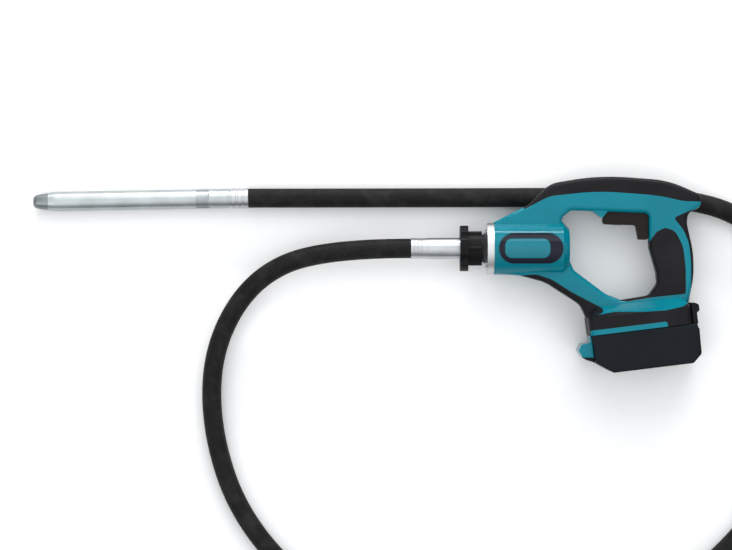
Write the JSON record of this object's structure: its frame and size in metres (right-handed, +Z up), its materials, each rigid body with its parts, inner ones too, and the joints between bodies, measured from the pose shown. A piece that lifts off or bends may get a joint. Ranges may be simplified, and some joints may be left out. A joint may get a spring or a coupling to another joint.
{
  "type": "concrete vibrator",
  "caption": "Battery-powered concrete vibrator: D-handle drive unit with a flexible shaft that ends in a slim steel vibrating head.",
  "frame": {"origin": "centre of the drive unit's footprint, on the floor it lies on", "axes": "+Z up; the drive unit lies on its right side with +X from the nose towards the rear grip and +Y from the battery towards the top handle"},
  "size_m": [1.008, 0.6077, 0.0853],
  "materials": {
    "housing_left": "glossy moulded teal",
    "housing_right": "glossy moulded teal",
    "handle_cover": "matt black elastomer",
    "grip_pad": "matt black elastomer",
    "back_pad": "matt black elastomer",
    "strut_guard": "matt black elastomer",
    "base_bumper": "matt black elastomer",
    "battery_guard": "glossy moulded teal",
    "guard_foot": "matt black elastomer",
    "housing_screws": "zinc plate",
    "badge_rings": "dark glossy badge",
    "badge_plates": "glossy moulded teal",
    "nose": "machined die casting",
    "nose_screws": "zinc plate",
    "coupling_nut": "fine matt black moulding",
    "thrust_washer": "satin steel",
    "hose_fitting": "satin steel",
    "motor_can": "zinc plate",
    "motor_magnets": "dark iron",
    "brush_plate": "fine matt black moulding",
    "armature_core": "dark steel",
    "armature_windings": "enamelled copper",
    "commutator": "enamelled copper",
    "cooling_fan": "fine matt black moulding",
    "motor_shaft": "satin steel",
    "drive_socket": "dark steel",
    "motor_bearings": "satin steel",
    "carbon_brushes": "dark iron",
    "core_end_drive": "dark steel",
    "trigger": "brown-black moulding",
    "trigger_pin": "satin steel",
    "switch_body": "fine matt black moulding",
    "switch_plunger": "fine matt black moulding",
    "trigger_spring": "satin steel",
    "lock_button": "fine matt black moulding",
    "lock_spring": "satin steel",
    "battery_case": "blue-black moulding",
    "battery_top": "black moulding",
    "battery_latch": "fine matt black moulding",
    "latch_spring": "satin steel",
    "battery_cells": "wrapped cell",
    "cell_straps": "zinc plate",
    "battery_board": "circuit board",
    "battery_contacts": "enamelled copper",
    "battery_screws": "zinc plate",
    "terminal_block": "fine matt black moulding",
    "terminal_blades": "bare brass",
    "leads": "matt black elastomer",
    "head_ferrule": "satin steel",
    "head_collar": "satin steel",
    "head_joint": "satin steel",
    "head_tube": "satin steel",
    "head_tip": "dark steel",
    "head_bearings": "satin steel",
    "head_seal": "matt black elastomer",
    "eccentric": "dark steel",
    "core_end_head": "dark steel",
    "hose": "black rubber with a woven print",
    "flex_core": "dark steel"
  },
  "bodies": {
    "drive_unit": {"housing_left": "housing_left", "housing_right": "housing_right", "handle_cover": "handle_cover", "grip_pad": "grip_pad", "back_pad": "back_pad", "strut_guard": "strut_guard", "base_bumper": "base_bumper", "battery_guard": "battery_guard", "guard_foot": "guard_foot", "housing_screws": "housing_screws", "badge_rings": "badge_rings", "badge_plates": "badge_plates", "nose": "nose", "nose_screws": "nose_screws", "hose_fitting": "hose_fitting", "motor_can": "motor_can", "motor_magnets": "motor_magnets", "brush_plate": "brush_plate", "motor_bearings": "motor_bearings", "carbon_brushes": "carbon_brushes", "trigger_pin": "trigger_pin", "switch_body": "switch_body", "trigger_spring": "trigger_spring", "lock_spring": "lock_spring", "terminal_block": "terminal_block", "terminal_blades": "terminal_blades", "leads": "leads", "head_ferrule": "head_ferrule", "head_collar": "head_collar", "head_joint": "head_joint", "head_tube": "head_tube", "head_tip": "head_tip", "head_bearings": "head_bearings", "head_seal": "head_seal", "hose": "hose", "flex_core": "flex_core"},
    "rotor": {"armature_core": "armature_core", "armature_windings": "armature_windings", "commutator": "commutator", "cooling_fan": "cooling_fan", "motor_shaft": "motor_shaft", "drive_socket": "drive_socket", "core_end_drive": "core_end_drive"},
    "eccentric": {"eccentric": "eccentric", "core_end_head": "core_end_head"},
    "nut_carrier": {"thrust_washer": "thrust_washer"},
    "nut": {"coupling_nut": "coupling_nut"},
    "trigger": {"trigger": "trigger"},
    "switch_plunger": {"switch_plunger": "switch_plunger"},
    "lock_button": {"lock_button": "lock_button"},
    "battery": {"battery_case": "battery_case", "battery_top": "battery_top", "battery_cells": "battery_cells", "cell_straps": "cell_straps", "battery_board": "battery_board", "battery_contacts": "battery_contacts", "battery_screws": "battery_screws", "latch_spring": "latch_spring"},
    "battery_latch": {"battery_latch": "battery_latch"}
  },
  "joints": [
    {"name": "rotor_spin", "type": "hinge", "parent": "drive_unit", "child": "rotor", "pos_m": [-0.065, 0.035, 0.0425], "axis": [-1, 0, 0], "continuous": true},
    {"name": "eccentric_spin", "type": "hinge", "parent": "drive_unit", "child": "eccentric", "pos_m": [-0.57528, 0.09748, 0.0125], "axis": [-0.9998, -0.0175, 0], "continuous": true},
    {"name": "nut_travel", "type": "slide", "parent": "drive_unit", "child": "nut_carrier", "axis": [-1, 0, 0], "range_m": [0, 0.0041]},
    {"name": "nut_turn", "type": "hinge", "parent": "nut_carrier", "child": "nut", "pos_m": [-0.14, 0.035, 0.0425], "axis": [-1, 0, 0], "range_deg": [0, 720]},
    {"name": "trigger_pull", "type": "hinge", "parent": "drive_unit", "child": "trigger", "pos_m": [0.034, 0.0865, 0.0425], "axis": [0, 0, 1], "range_deg": [0, 5], "stiffness_Nm_per_rad": 6, "springref_deg": -6.88},
    {"name": "switch_press", "type": "slide", "parent": "drive_unit", "child": "switch_plunger", "axis": [0, 1, 0], "range_m": [0, 0.0032]},
    {"name": "lock_press", "type": "slide", "parent": "drive_unit", "child": "lock_button", "axis": [0, 0, 1], "range_m": [0, 0.0025], "stiffness_N_per_m": 400, "springref_m": -0.002, "deforming": ["lock_spring"]},
    {"name": "battery_slide", "type": "slide", "parent": "drive_unit", "child": "battery", "axis": [0.9925, 0.1219, 0], "range_m": [0, 0.12]},
    {"name": "latch_press", "type": "slide", "parent": "battery", "child": "battery_latch", "axis": [0.1219, -0.9925, 0], "range_m": [0, 0.003], "stiffness_N_per_m": 600, "springref_m": -0.002}
  ],
  "couplings": [
    {"joint": "rotor_spin", "follows": "eccentric_spin", "ratio": 1},
    {"joint": "nut_travel", "follows": "nut_turn", "m_per_rad": 0.00031831},
    {"joint": "switch_press", "follows": "trigger_pull", "m_per_rad": 0.032}
  ]
}
